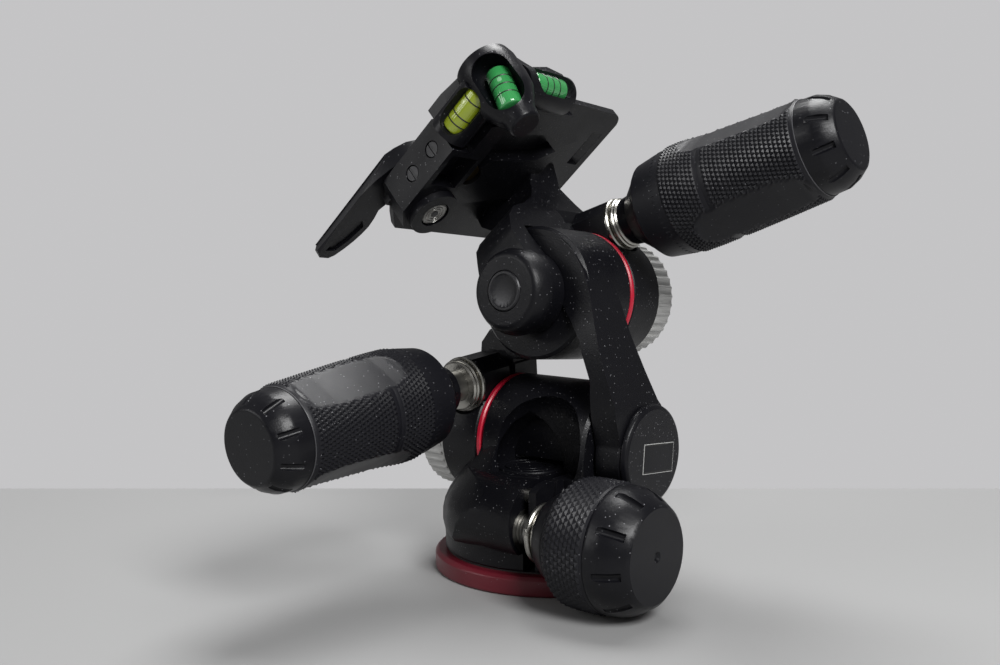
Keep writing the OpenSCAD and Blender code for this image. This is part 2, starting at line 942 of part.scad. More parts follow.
module upper_shaft() {
    color(steel)
        upper_frame()
            translate([0, 0, -23.4])
                chamfered(shaft_d / 2, 23.4 + upper_ring_w + wheel1 - 0.2, 0.5);
}

module upper_hub() {
    color(steel)
        upper_frame()
            translate([0, 0, upper_ring_w])
                clamp_hub();
}

module upper_ring() {
    color(crimson)
        upper_frame()
            translate([0, 0, upper_ring_w + 0.02])
                friction_ring();
}

module upper_springs() {
    color(steel)
        upper_frame()
            translate([0, 0, upper_ring_w])
                spring_stack();
}

module upper_wheel() {
    color(pale_grey)
        upper_frame()
            translate([0, 0, upper_ring_w])
                friction_wheel();
}

// round plug with a raised rim, in the face of the platform's front ear
module upper_bolt() {
    color(black)
        upper_frame()
            translate([0, 0, -26.5])
                rotate_extrude()
                    polygon([[0, 0.75], [2.6, 0.6], [3.9, 0.3], [4.2, 0], [4.7, 0], [5, 0.35],
                        [5, 3.05], [0, 3.05]]);
}

// profile of the neck seen along the a axis: from the front ear over the barrel to the deck
module neck_profile() {
    polygon([[-23, 0], [-23, 8], [-21.8, 13], [-19.2, 17.6], [-15, 21], [-8, 23.6],
        [-1, 27.4], [4, 32.4], [6.6, 37.4], [7.4, deck_n + 0.2], [18.2, deck_n + 0.2],
        [18.2, 0], [5, 0], [5, 14], [-15.5, 14], [-15.5, 0]]);
}

module platform() {
    color(black)
        platform_frame()
            difference() {
                union() {
                    platform_deck();
                    // front ear
                    translate([0, -26.2, 0])
                        rotate([-90, 0, 0])
                            rotate_extrude()
                                polygon([[0, 0], [8.2, 0], [9.3, 0.6], [10.1, 1.8],
                                    [ear_r - 0.2, 3.6], [ear_r, 5.2], [ear_r - 0.6, 6],
                                    [ear_r - 0.6, 10.7], [0, 10.7]]);
                    // neck: the profile along b and n, cut to its shape along a and n
                    intersection() {
                        rotate([90, 0, 90])
                            translate([0, 0, -20])
                                linear_extrude(height = 40)
                                    neck_profile();
                        rotate([90, 0, 0])
                            translate([0, 0, -30])
                                linear_extrude(height = 60)
                                    polygon([[-7, 0], [-6.6, 8], [-5, 13], [-4.6, 19], [-6, 25],
                                        [-9, 31], [-14, deck_n - 3], [-14, deck_n + 1],
                                        [10.4, deck_n + 1], [7.2, 34], [8.2, 27], [9.6, 20],
                                        [9, 12], [9.6, 0]]);
                    }
                    translate([0, upper_ring_w, 0])
                        rotate([-90, 0, 0])
                            platform_collar();
                }
                // the arm's barrel
                translate([0, -15.5, 0])
                    rotate([-90, 0, 0])
                        cylinder(d = barrel_d + 0.8, h = 15.5 + upper_ring_w + collar0);
                // journal and bolt recess in the front ear
                translate([0, -30, 0])
                    rotate([-90, 0, 0])
                        cylinder(d = shaft_d + 2 * run, h = 40);
                translate([0, -30, 0])
                    rotate([-90, 0, 0])
                        cylinder(r = 5.15, h = 6.7);
                translate([0, upper_ring_w, 0])
                    rotate([-90, 0, 0])
                        rotate([0, 0, pose_side - upper_handle_rise])
                            mirror([0, 1, 0])
                                clamp_cuts();
            }
}

// the clamp collar in the platform's own frame
module platform_collar() {
    rotate([0, 0, pose_side - upper_handle_rise])
        mirror([0, 1, 0])
            split_collar();
}

// deck with the plate's seat, the fixed jaw and the lever housing
module platform_deck() {
    difference() {
        union() {
            // floor plate
            translate([0, 0, deck_n])
                linear_extrude(height = floor_t)
                    deck_outline();
            // fixed jaw along the +b side
            difference() {
                translate([plat_a0, 23.4, deck_n])
                    cube([plat_a1 - plat_a0 - 3, plat_b1 - 23.4, jaw_n - deck_n]);
                translate([plat_a0 - 1, 23.4, floor_n])
                    rotate([34, 0, 0])
                        cube([60, 3, 4.2]);
            }
            // lever housing under and beside the floor
            translate([0, 0, house_n0])
                linear_extrude(height = house_n1 - house_n0)
                    polygon([[-8.5, plat_b0], [13.5, plat_b0], [13.5, -25.3], [24, -25.3], [24, -21],
                        [20, -19.5], [-12.6, -19.5], [-14.6, -22], [-13.4, -28]]);
            // boss of the lever's pivot
            translate([pivot_a, pivot_b, house_n0 - 2])
                cylinder(r = 6.8, h = 10);
            // raised rib from the boss to the neck
            translate([0, 0, 37])
                linear_extrude(height = deck_n - 37 + 0.5)
                    polygon([[-8, -20], [-2, -20], [10.2, -11.8], [13, 4], [17, 8.6], [14.5, 10.3],
                        [5.1, 8.6], [3, 12], [-2, 10], [-1.6, 5], [-5.4, -9.2]]);
            // foot that carries the level holder
            translate([0, 0, 38])
                linear_extrude(height = 3.2)
                    polygon([[16, -24], [24, -24], [28.4, -18], [28.4, 6], [21.4, 15.5], [19, 12], [21, 2]]);
        }
        // hollow of the lever housing, open below for the casting's core
        translate([1.6, -30.2, house_n0 - 1])
            cube([10, 9, 6]);
        // room for the corner tower and the edge wing of the levels
        translate([tower_a, tower_b, 20])
            cylinder(r = tower_r + 0.4, h = 40);
        translate([28.3, -22, 20])
            cube([10, 26, 40]);
        translate([13.4, -40, 33])
            cube([16, 14.9, 20]);
        // relief under the jaw
        translate([11.2, 23.2, deck_n - 1])
            cube([12, 4.4, 5]);
        // pivot hole
        translate([pivot_a, pivot_b, 20])
            cylinder(d = 5 + 2 * run, h = 40);
        translate([pivot_a, pivot_b, 20])
            cylinder(r = 4, h = house_n0 - 2 + 1.6 - 20);
        // spring and trigger pin
        translate([pivot_a, pivot_b, 41.6])
            cylinder(r = 5.6, h = 6);
        translate([4, -14.5, 30])
            cylinder(d = 4 + 2 * run, h = 30);
        translate([4, -14.5, 30])
            cylinder(r = 3.1, h = 9.3);
        // seats of the two screws in the side wall
        for (a = [0, 8.5])
            translate([a, plat_b0 - 1, 39.2])
                rotate([-90, 0, 0])
                    cylinder(d = 4.4, h = 1.9);
    }
}

module deck_outline() {
    difference() {
        translate([plat_a0, -30])
            square([plat_a1 - plat_a0, plat_b1 + 30]);
        polygon([[plat_a0 - 1, -31], [-13, -31], [-13, -27.5], [-16.8, -24.5], [plat_a0, -21],
            [plat_a0 - 1, -20]]);
        polygon([[plat_a1 + 1, -31], [13.5, -31], [13.5, -26.5], [27, -13], [plat_a1 + 1, -13]]);
        difference() {
            translate([plat_a1 - 4, plat_b1 - 4])
                square([6, 6]);
            translate([plat_a1 - 4, plat_b1 - 4])
                circle(r = 4);
        }
        difference() {
            translate([plat_a0 - 2, plat_b1 - 2])
                square([4, 4]);
            translate([plat_a0 + 2, plat_b1 - 2])
                circle(r = 2);
        }
    }
}

module upper_nut() {
    color(steel)
        upper_clamp_frame()
            clamp_nut();
}

module upper_stem() {
    color(steel)
        upper_clamp_frame()
            at_handle()
                stem(pose_reach_upper);
}

module upper_washers() {
    color(silver)
        upper_clamp_frame()
            at_handle()
                washers();
}

module upper_grip() {
    color(black)
        upper_clamp_frame()
            at_handle()
                translate([0, 0, grip0 + pose_reach_upper])
                    grip_body();
}

module upper_sleeve() {
    color(rubber)
        upper_clamp_frame()
            at_handle()
                translate([0, 0, grip0 + pose_reach_upper])
                    sleeve();
}

module upper_grip_cap() {
    color(black)
        upper_clamp_frame()
            at_handle()
                translate([0, 0, grip0 + pose_reach_upper])
                    grip_cap(grip_d / 2 - 1.75, grip_end, grip_len);
}

// ---- lever and levels ----------------------------------------------------

// locking lever: pivot disc with its cam and the long blade
module lever() {
    color(black)
        platform_frame()
            difference() {
                union() {
                    translate([pivot_a, pivot_b, house_n1 + 0.45])
                        cylinder(r = 7.2, h = 4.15);
                    translate([pivot_a + 3, pivot_b + 1.2, house_n1 + 0.45])
                        cylinder(r = 6.4, h = 4.15);
                    translate([0, 0, house_n1 + 0.45])
                        linear_extrude(height = 4.75)
                            lever_outline();
                }
                translate([pivot_a, pivot_b, 30])
                    cylinder(d = 5 + 2 * run, h = 30);
                translate([pivot_a, pivot_b, house_n1 + 3.2])
                    cylinder(r = 4.4, h = 4);
                // finger pocket in the blade's underside
                translate([0, 0, house_n1 - 1])
                    linear_extrude(height = 2.2)
                        polygon([[-35.6, -32.6], [-35.2, -29.6], [-31, -27.6], [-25.4, -26.2],
                            [-23.4, -28], [-25, -31.6]]);
                // slope of the outer edge
                translate([-40, -41.2, house_n1 + 2.4])
                    rotate([-38, 0, 0])
                        cube([60, 6, 8]);
            }
}

// plan of the blade: outer edge from the pivot to the squared tip, then the inner edge
module lever_outline() {
    polygon([[2.4, -25.4], [1.2, -28], [-1.5, -30.4], [-5, -32.3], [-9.4, -34], [-14.3, -35],
        [-21.6, -35.2], [-30.7, -34.7], [-36.8, -34.2], [-38.2, -33], [-38.2, -29.8], [-37, -28.4],
        [-34, -26.8], [-31, -25.6], [-28, -24.8], [-25.2, -24.4], [-22, -24.7], [-19, -25.4],
        [-16.4, -24.4], [-13.4, -21.6], [-8, -20]]);
}

module lever_pivot() {
    color(steel)
        platform_frame()
            translate([pivot_a, pivot_b, 0])
                union() {
                    translate([0, 0, house_n0 - 1.6])
                        chamfered(3.8, 1.1, 0.3);
                    translate([0, 0, house_n0 - 0.6])
                        cylinder(d = 5, h = house_n1 + 4 - house_n0 + 0.6);
                    translate([0, 0, house_n1 + 3.3])
                        cylinder(r = 4.2, h = 1.1);
                }
}

module lever_spring() {
    color(steel)
        platform_frame()
            for (i = [0:3])
                translate([pivot_a, pivot_b, 42.1 + i * 0.82])
                    rotate_extrude()
                        translate([4.5, 0])
                            circle(r = 0.38, $fn = 16);
}

module trigger_pin() {
    color([0.75, 0.6, 0.3])
        platform_frame()
            translate([4, -14.5, 38])
                union() {
                    cylinder(d = 4, h = 7.4);
                    cylinder(r = 2.9, h = 1);
                }
}

// moulded holder of the three vials round the platform's corner
module level_holder() {
    color(black)
        platform_frame()
            difference() {
                union() {
                    // top plate round the corner
                    translate([0, 0, 42.6])
                        linear_extrude(height = 3.8)
                            polygon([[13.5, -27], [13.5, -31.4], [14.6, -33.4], [20, -33.4],
                                [26, -32], [28.4, -33], [31.6, -32.8], [34.6, -30.8],
                                [36.2, -27], [36, -20], [35, -14.6], [34.4, -11], [35.6, -6],
                                [34.8, 1.4], [32.6, 3.4], [28.5, 3.4], [28.5, -14], [24, -20],
                                [24, -25.3], [17, -25.3]]);
                    // side pod along a
                    translate([14.2, -29.8, 39.6])
                        rotate([0, 90, 0])
                            cylinder(r = 5.2, h = 13.6);
                    translate([14.2, -33.4, 39.6])
                        cube([13.6, 8.1, 4]);
                    // edge pod along b
                    translate([32, -20, 40.4])
                        rotate([-90, 0, 0])
                            cylinder(r = 5, h = 18.6);
                    translate([28.5, -20, 38.4])
                        cube([5, 20.6, 6]);
                    // corner tower with its stub
                    translate([tower_a, tower_b, 0])
                        rotate_extrude()
                            polygon([[0, 25.6], [3.6, 25.6], [4.1, 26.2], [4.5, 29], [5.8, 31.4],
                                [tower_r - 0.5, 34.6], [tower_r - 0.1, 38], [tower_r, 44],
                                [tower_r - 0.5, 46.4], [0, 46.4]]);
                }
                holder_pockets();
                // flats where the pods lie against the platform
                translate([10.2, -25.2, 33])
                    cube([12.4, 10, 9.6]);
                translate([20, -20.1, 34])
                    cube([8.4, 28, 8.6]);
                translate([20, -14.8, 42])
                    cube([8.4, 28, 6]);
            }
}

// a long round-ended hollow, along Z from its middle
module round_slot(r, length) {
    cylinder(r = r, h = length - 2 * r, center = true);
    for (e = [-1, 1])
        translate([0, 0, e * (length / 2 - r)])
            sphere(r = r, $fn = 32);
}

module side_vial_frame() {
    translate([22, -30.8, 38.8])
        rotate([0, 90, 0])
            children();
}

module corner_vial_frame() {
    translate([tower_a + 1.4, tower_b - 1.4, 35.8])
        rotate([-10.8, 6.8, 0])
            children();
}

module edge_vial_frame() {
    translate([33.4, -10, 40])
        rotate([90, 0, 0])
            children();
}

module holder_pockets() {
    translate([22, -35, 37.6])
        rotate([0, 90, 0])
            round_slot(4.2, 13);
    translate([tower_a + 2.6, tower_b - 4.2, 37])
        round_slot(5, 15.6);
    translate([36.8, -9.6, 39.2])
        rotate([90, 0, 0])
            round_slot(4.2, 15);
    side_vial_frame()
        cylinder(d = vial_d + 0.1, h = vial_len + 0.1, center = true);
    corner_vial_frame()
        cylinder(d = vial_d + 0.1, h = vial_len + 0.1, center = true);
    edge_vial_frame()
        cylinder(d = vial_d + 0.1, h = vial_len + 0.1, center = true);
}

module vial() {
    rotate_extrude()
        polygon([[0, -vial_len / 2], [vial_d / 2 - 0.5, -vial_len / 2],
            [vial_d / 2, -vial_len / 2 + 0.5], [vial_d / 2, vial_len / 2 - 0.5],
            [vial_d / 2 - 0.5, vial_len / 2], [0, vial_len / 2]]);
}

module vial_side() {
    color(vial_green)
        platform_frame()
            side_vial_frame()
                vial();
}

module vial_corner() {
    color(vial_green)
        platform_frame()
            corner_vial_frame()
                vial();
}

module vial_edge() {
    color(vial_green)
        platform_frame()
            edge_vial_frame()
                vial();
}

module holder_screws() {
    color(steel)
        platform_frame()
            for (a = [0, 8.5])
                translate([a, plat_b0 + 0.1, 39.2])
                    rotate([-90, 0, 0])
                        difference() {
                            chamfered(2.1, 0.75, 0.2);
                            translate([-0.3, -3, -0.2])
                                cube([0.6, 6, 0.5]);
                        }
}

// ---- nodes ----------------------------------------------------------------

base_disc();
pan_spindle();
slip_ring();
pan_housing();
pan_retainer();
pan_cover();
pan_screw();
pan_nut();
pan_washers();
pan_knob();
pan_knob_sleeve();
pan_knob_cap();
pan_pin();
lower_shaft();
lower_hub();
lower_ring();
lower_springs();
lower_wheel();
arm();
lower_bolt();
side_cover();
lower_nut();
lower_stem();
lower_washers();
lower_grip();
lower_sleeve();
lower_grip_cap();
upper_shaft();
upper_hub();
upper_ring();
upper_springs();
upper_wheel();
upper_bolt();
platform();
upper_nut();
upper_stem();
upper_washers();
upper_grip();
upper_sleeve();
upper_grip_cap();
lever();
lever_pivot();
lever_spring();
trigger_pin();
level_holder();
vial_side();
vial_corner();
vial_edge();
holder_screws();
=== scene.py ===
import math

import bpy
from mathutils import Euler, Matrix, Vector


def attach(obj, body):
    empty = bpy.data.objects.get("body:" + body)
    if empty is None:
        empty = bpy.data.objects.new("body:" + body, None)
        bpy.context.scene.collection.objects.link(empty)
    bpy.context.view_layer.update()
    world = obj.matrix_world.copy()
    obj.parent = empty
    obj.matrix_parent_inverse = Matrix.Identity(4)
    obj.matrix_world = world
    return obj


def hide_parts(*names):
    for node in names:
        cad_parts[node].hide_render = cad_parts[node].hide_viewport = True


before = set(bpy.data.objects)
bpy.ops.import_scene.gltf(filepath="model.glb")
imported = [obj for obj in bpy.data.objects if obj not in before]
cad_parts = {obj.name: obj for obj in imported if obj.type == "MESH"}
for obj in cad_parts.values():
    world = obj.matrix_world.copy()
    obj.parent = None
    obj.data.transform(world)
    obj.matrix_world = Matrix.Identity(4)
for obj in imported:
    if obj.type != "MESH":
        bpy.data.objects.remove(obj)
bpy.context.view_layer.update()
MM = 0.001

# ---- Base disc ----------------------------------------------------------
# A flat aluminium disc, dark red anodised, that bolts down on the tripod.
# It is turned, so fine circles run round it, and its rim has a small chamfer.


def deselect_all():
    """Nothing stays selected, so that the next operator acts on new things only."""
    if bpy.context.mode != "OBJECT":
        bpy.ops.object.mode_set(mode="OBJECT")
    bpy.ops.object.select_all(action="DESELECT")


def pick(piece):
    """The piece alone is selected and active."""
    deselect_all()
    piece.select_set(True)
    bpy.context.view_layer.objects.active = piece


def new_group(name, inputs, outputs):
    """An empty shader group with its sockets, and its two end nodes."""
    group = bpy.data.node_groups.new(name, "ShaderNodeTree")
    for label, value in inputs:
        made = group.interface.new_socket(label, in_out="INPUT", socket_type="NodeSocketFloat")
        made.default_value = value
    for label in outputs:
        group.interface.new_socket(label, in_out="OUTPUT", socket_type="NodeSocketFloat")
    return group, group.nodes.new("NodeGroupInput"), group.nodes.new("NodeGroupOutput")


def add_math(tree, operation, first, second):
    """A Math node. first and second are sockets or numbers."""
    node = tree.nodes.new("ShaderNodeMath")
    node.operation = operation
    for place, value in enumerate((first, second)):
        if isinstance(value, (int, float)):
            node.inputs[place].default_value = value
        else:
            tree.links.new(value, node.inputs[place])
    return node.outputs["Value"]


def add_range(tree, value, low, high, to_low=0.0, to_high=1.0):
    """A Map Range node over a socket."""
    node = tree.nodes.new("ShaderNodeMapRange")
    ends = {"From Min": low, "From Max": high, "To Min": to_low, "To Max": to_high}
    for label, number in ends.items():
        node.inputs[label].default_value = number
    tree.links.new(value, node.inputs["Value"])
    return node.outputs["Result"]


def dust_group():
    """Small pale specks that settle on every surface, more of them on what faces up."""
    group, given, made = new_group("dust", [("Amount", 0.3), ("Speck", 1250.0)], ["Mask"])
    place = group.nodes.new("ShaderNodeTexCoord")
    cells = group.nodes.new("ShaderNodeTexVoronoi")
    group.links.new(place.outputs["Object"], cells.inputs["Vector"])
    group.links.new(given.outputs["Speck"], cells.inputs["Scale"])
    near = add_range(group, cells.outputs["Distance"], 0.20, 0.08)
    drawn = group.nodes.new("ShaderNodeSeparateColor")
    group.links.new(cells.outputs["Color"], drawn.inputs["Color"])
    few = add_math(group, "LESS_THAN", drawn.outputs["Red"], given.outputs["Amount"])
    strong = add_range(group, drawn.outputs["Green"], 0.0, 1.0, 0.25, 1.0)
    facing = group.nodes.new("ShaderNodeNewGeometry")
    split = group.nodes.new("ShaderNodeSeparateXYZ")
    group.links.new(facing.outputs["Normal"], split.inputs["Vector"])
    upward = add_range(group, split.outputs["Z"], -0.7, 0.8, 0.3, 1.0)
    shown = add_math(group, "MULTIPLY", add_math(group, "MULTIPLY", near, few), upward)
    group.links.new(add_math(group, "MULTIPLY", shown, strong), made.inputs["Mask"])
    return group


def grain_group():
    """Fine uneven grain of a coat: a height for bump, and a slow cloud for gloss."""
    group, given, made = new_group(
        "grain", [("Grain", 2200.0), ("Cloud", 90.0)], ["Height", "Cloud"]
    )
    place = group.nodes.new("ShaderNodeTexCoord")
    for scale, label, detail in (("Grain", "Height", 3.0), ("Cloud", "Cloud", 4.0)):
        noise = group.nodes.new("ShaderNodeTexNoise")
        noise.inputs["Detail"].default_value = detail
        group.links.new(place.outputs["Object"], noise.inputs["Vector"])
        group.links.new(given.outputs[scale], noise.inputs["Scale"])
        group.links.new(noise.outputs["Fac"], made.inputs[label])
    return group


DUST = dust_group()
GRAIN = grain_group()
DUST_COLOUR = (0.36, 0.36, 0.38, 1.0)


def coated(
    name, colour, rough, spread=0.06, grain=1500.0, depth=0.00002, dust=0.03,
    metallic=0.0, coat=0.0, shine=0.5,
):
    """A coated or moulded surface: colour, gloss that varies a little, grain and dust."""
    material = bpy.data.materials.new(name)
    material.use_nodes = True
    tree = material.node_tree
    shader = tree.nodes["Principled BSDF"]
    shader.inputs["Metallic"].default_value = metallic
    shader.inputs["Coat Weight"].default_value = coat
    shader.inputs["Coat Roughness"].default_value = 0.25
    shader.inputs["Specular IOR Level"].default_value = shine
    grains = tree.nodes.new("ShaderNodeGroup")
    grains.node_tree = GRAIN
    grains.inputs["Grain"].default_value = grain
    gloss = add_range(tree, grains.outputs["Cloud"], 0.3, 0.7, rough - spread, rough + spread)
    tree.links.new(gloss, shader.inputs["Roughness"])
    bump = tree.nodes.new("ShaderNodeBump")
    bump.inputs["Strength"].default_value = 1.0
    bump.inputs["Distance"].default_value = depth
    tree.links.new(grains.outputs["Height"], bump.inputs["Height"])
    tree.links.new(bump.outputs["Normal"], shader.inputs["Normal"])
    specks = tree.nodes.new("ShaderNodeGroup")
    specks.node_tree = DUST
    specks.inputs["Amount"].default_value = dust
    mix = tree.nodes.new("ShaderNodeMix")
    mix.data_type = "RGBA"
    mix.inputs["A"].default_value = (*colour, 1.0)
    mix.inputs["B"].default_value = DUST_COLOUR
    tree.links.new(specks.outputs["Mask"], mix.inputs["Factor"])
    tree.links.new(mix.outputs["Result"], shader.inputs["Base Color"])
    return material


def dress(material, *names):
    """Gives CAD nodes their finish."""
    for name in names:
        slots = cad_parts[name].data.materials
        slots.clear()
        slots.append(material)


def eased(node, body, material, width, angle=32):
    """A copy of a CAD node whose sharp edges are rounded off, as a casting's or moulding's are."""
    deselect_all()
    copy = bpy.data.objects.new(node + "_eased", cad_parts[node].data.copy())
    bpy.context.scene.collection.objects.link(copy)
    pick(copy)
    bpy.ops.object.mode_set(mode="EDIT")
    bpy.ops.mesh.select_all(action="SELECT")
    bpy.ops.mesh.remove_doubles(threshold=0.005 * MM)
    bpy.ops.mesh.dissolve_limited(angle_limit=math.radians(1.0))
    bpy.ops.object.mode_set(mode="OBJECT")
    bevel = copy.modifiers.new("edges", "BEVEL")
    bevel.width = width * MM
    bevel.segments = 2
    bevel.limit_method = "ANGLE"
    bevel.angle_limit = math.radians(angle)
    bpy.ops.object.modifier_apply(modifier="edges")
    bpy.ops.object.shade_smooth_by_angle(angle=math.radians(38))
    faces = copy.modifiers.new("faces", "WEIGHTED_NORMAL")
    faces.keep_sharp = True
    faces.weight = 60
    bpy.ops.object.modifier_apply(modifier="faces")
    copy.data.materials.clear()
    copy.data.materials.append(material)
    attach(copy, body)
    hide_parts(node)
    return copy


WINE = coated("dark_red_anodised", (0.11, 0.006, 0.014), 0.36, grain=900.0, dust=0.05)
eased("base_disc", "base", WINE, 0.25)

# ---- Spindle and slip ring -------------------------------------------------
# The spindle is turned from bright aluminium. A thin black slip ring lies
# between the disc and the housing, and a steel screw holds the two together.

SILVER = coated("bright_turned", (0.40, 0.39, 0.36), 0.28, metallic=1.0)
STEEL = coated("plain_steel", (0.30, 0.295, 0.28), 0.34, metallic=1.0)
dress(SILVER, "pan_spindle")
dress(STEEL, "pan_retainer")
dress(coated("slip_ring_black", (0.02, 0.02, 0.02), 0.5), "slip_ring")

# ---- Pan housing -------------------------------------------------------------
# A magnesium casting with a fine textured black coat. It is split at the front,
# and its barrel carries the lower tilt axis. A smooth dished niche is cut in it.

CAST_BLACK = coated(
    "black_cast_coat", (0.0035, 0.0035, 0.0050), 0.40, 0.07, 2400.0, 0.00005, 0.30, shine=0.24
)
eased("pan_housing", "housing", CAST_BLACK, 0.4)
dress(SILVER, "pan_pin")
dress(STEEL, "pan_nut", "pan_screw")
SATIN_BLACK = coated(
    "black_moulding", (0.0045, 0.0045, 0.0062), 0.34, 0.05, 3000.0, 0.00002, 0.20, shine=0.24
)
eased("pan_cover", "housing", SATIN_BLACK, 0.15)

# ---- Pan knob ------------------------------------------------------------------
# A moulded knob on the clamp screw. Its rubber sleeve is knurled with small
# pyramids, and its cap has short grooves round the rim.


def rolled_knurl(name, frame_matrix, profile, knurl, dips, seam=None):
    """A rubber sleeve about its own Z, made as a sheet of small pyramids and rolled up.

    profile is (z, radius) pairs of the outside. knurl is (columns, first z, last z,
    height, twist). dips is (angles, (z, radius) pairs of a dip's floor).
    """
    columns, knurl_from, knurl_to, height, twist = knurl
    angles, dip_floor = dips
    lowest, highest = profile[0][0], profile[-1][0]
    bore = 9.5
    around = columns * 2
    step = (knurl_to - knurl_from) / (2 * round((knurl_to - knurl_from) / 1.1))
    levels = [(z, 0) for z, _ in profile if z < knurl_from - 0.2]
    levels.append((knurl_from, 0))
    count = round((knurl_to - knurl_from) / step)
    levels += [(knurl_from + step * k, k % 4 if k % 2 else 0) for k in range(1, count)]
    levels.append((knurl_to, 0))
    levels += [(z, 0) for z, _ in profile if z > knurl_to + 0.2]
    rows = [(lowest, None)] + levels + [(highest, None)]
    deselect_all()
    bpy.ops.mesh.primitive_grid_add(x_subdivisions=around, y_subdivisions=len(rows) - 1, size=1.0)
    sleeve = bpy.context.object
    sleeve.name = name
    across = around + 1
    for index, vertex in enumerate(sleeve.data.vertices):
        column, row = index % across, index // across
        z, tip = rows[row]
        turn = 2 * math.pi * (column % around) / around + twist * (z - lowest)
        if tip is None:
            radius = bore
        else:
            radius = outline_radius(profile, z)
            flat = -1.0
            if angles and dip_floor[0][0] <= z <= dip_floor[-1][0]:
                for angle in angles:
                    off = math.remainder(turn - math.radians(angle), 2 * math.pi)
                    if abs(off) < 0.9:
                        wall = outline_radius(dip_floor, z) / math.cos(off)
                        flat = max(flat, radius - wall)
            if flat > 0:
                radius -= flat
            elif tip and column % 2 == (tip == 1) and not (seam and abs(z - seam) < step * 1.1):
                radius += height * min(1.0, -flat / 0.4)
            elif seam and abs(z - seam) < step * 0.6:
                radius -= 0.12
        vertex.co = Vector((radius * math.cos(turn), radius * math.sin(turn), z)) * MM
    bpy.ops.object.mode_set(mode="EDIT")
    bpy.ops.mesh.select_all(action="SELECT")
    bpy.ops.mesh.remove_doubles(threshold=0.002 * MM)
    bpy.ops.mesh.select_all(action="DESELECT")
    bpy.ops.mesh.select_non_manifold(extend=False)
    bpy.ops.mesh.bridge_edge_loops()
    bpy.ops.mesh.select_all(action="SELECT")
    bpy.ops.mesh.quads_convert_to_tris(quad_method="LONGEST_DIAGONAL")
    bpy.ops.object.mode_set(mode="OBJECT")
    settle(sleeve, frame_matrix)
    bpy.ops.object.shade_smooth_by_angle(angle=math.radians(22))
    return sleeve


def outline_radius(profile, z):
    """The outside radius of a sleeve at a height."""
    for (z0, r0), (z1, r1) in zip(profile, profile[1:]):
        if z <= z1:
            share = 0 if z1 == z0 else (z - z0) / (z1 - z0)
            return r0 + (r1 - r0) * max(0.0, min(1.0, share))
    return profile[-1][1]


def settle(piece, frame_matrix):
    """Puts a piece made in millimetre frame axes where it belongs, and faces it outwards."""
    pick(piece)
    bpy.ops.object.transform_apply(location=True, rotation=True, scale=True)
    piece.data.transform(frame_matrix)
    bpy.ops.object.mode_set(mode="EDIT")
    bpy.ops.mesh.select_all(action="SELECT")
    bpy.ops.mesh.normals_make_consistent(inside=False)
    bpy.ops.object.mode_set(mode="OBJECT")


def belongs(piece, body, slot, material, *nodes):
    """A new piece's finish, the body it moves with, and the CAD nodes it stands for."""
    piece.data.materials.clear()
    piece.data.materials.append(material)
    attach(piece, body)
    if nodes:
        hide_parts(*nodes)


def moved(x, y, z):
    """A step in millimetres."""
    return Matrix.Translation((x * MM, y * MM, z * MM))


def turned(degrees, axis):
    return Matrix.Rotation(math.radians(degrees), 4, axis)


RUBBER = coated(
    "black_rubber", (0.006, 0.006, 0.0085), 0.46, 0.05, 2000.0, 0.00002, 0.22, shine=0.28
)
KNOB_AXIS = moved(0, -23.8, 15.8) @ turned(90, "Y")
KNOB_PROFILE = [(24.75, 12.2), (26.5, 13.9), (28, 14.9), (30, 15.1), (37, 15.1), (38.1, 14.9)]
knob_sleeve = rolled_knurl(
    "knob_sleeve", KNOB_AXIS, KNOB_PROFILE, (54, 26.2, 37.4, 0.45, 0.0), ((), ())
)
belongs(knob_sleeve, "knob", "grip_rubber", RUBBER, "pan_knob_sleeve")
eased("pan_knob", "knob", SATIN_BLACK, 0.3)
eased("pan_knob_cap", "knob", SATIN_BLACK, 0.35)
dress(SILVER, "pan_washers")

# ---- Lower friction wheel ----------------------------------------------------
# A pale grey moulded wheel with fine flutes, which sets the drag of the front
# tilt. A crimson ring shows beside the barrel, and steel parts run through both.

CRIMSON = coated("crimson_ring", (0.46, 0.008, 0.030), 0.34, dust=0.03)
PALE_GREY = coated("pale_grey_moulding", (0.44, 0.44, 0.43), 0.38, dust=0.02)
eased("lower_wheel", "lower_friction", PALE_GREY, 0.25)
dress(CRIMSON, "lower_ring")
dress(STEEL, "lower_shaft", "lower_hub", "lower_springs", "lower_bolt")

# ---- Arm -------------------------------------------------------------------------
# A casting with a rounded band that sweeps from the barrel's side up to the upper
# axis, and a clamp collar at each end. The nut of the lower clamp sits in it.

eased("arm", "yoke", CAST_BLACK, 0.9)
dress(STEEL, "lower_nut", "upper_shaft", "upper_hub", "upper_springs", "upper_nut")
eased("side_cover", "yoke", SATIN_BLACK, 0.3)

ARM_FRAME = moved(0, 0, 33) @ turned(-5.2, "X")

# ---- Badge plate ---------------------------------------------------------------
# A small dark plate with a thin pale edge, let into the side cover. It is bare.

INK = coated("level_ink", (0.004, 0.004, 0.004), 0.4)
BADGE_LONG, BADGE_TALL = 12.9, 6.9
BADGE_PLACE = ARM_FRAME @ moved(32.05, 1.9, -0.8)


def badge_sheet(name, grow, proud, material, slot):
    """A thin rounded plate on the cover's face."""
    deselect_all()
    bpy.ops.mesh.primitive_cube_add(size=1.0)
    sheet = bpy.context.object
    sheet.name = name
    sheet.scale = (2 * proud * MM, (BADGE_LONG + grow) * MM, (BADGE_TALL + grow) * MM)
    bpy.ops.object.transform_apply(location=True, rotation=True, scale=True)
    bpy.ops.object.mode_set(mode="EDIT")
    bpy.ops.mesh.select_all(action="SELECT")
    bpy.ops.mesh.bevel(offset=0.06 * MM, segments=2)
    bpy.ops.object.mode_set(mode="OBJECT")
    settle(sheet, BADGE_PLACE)
    belongs(sheet, "yoke", slot, material)


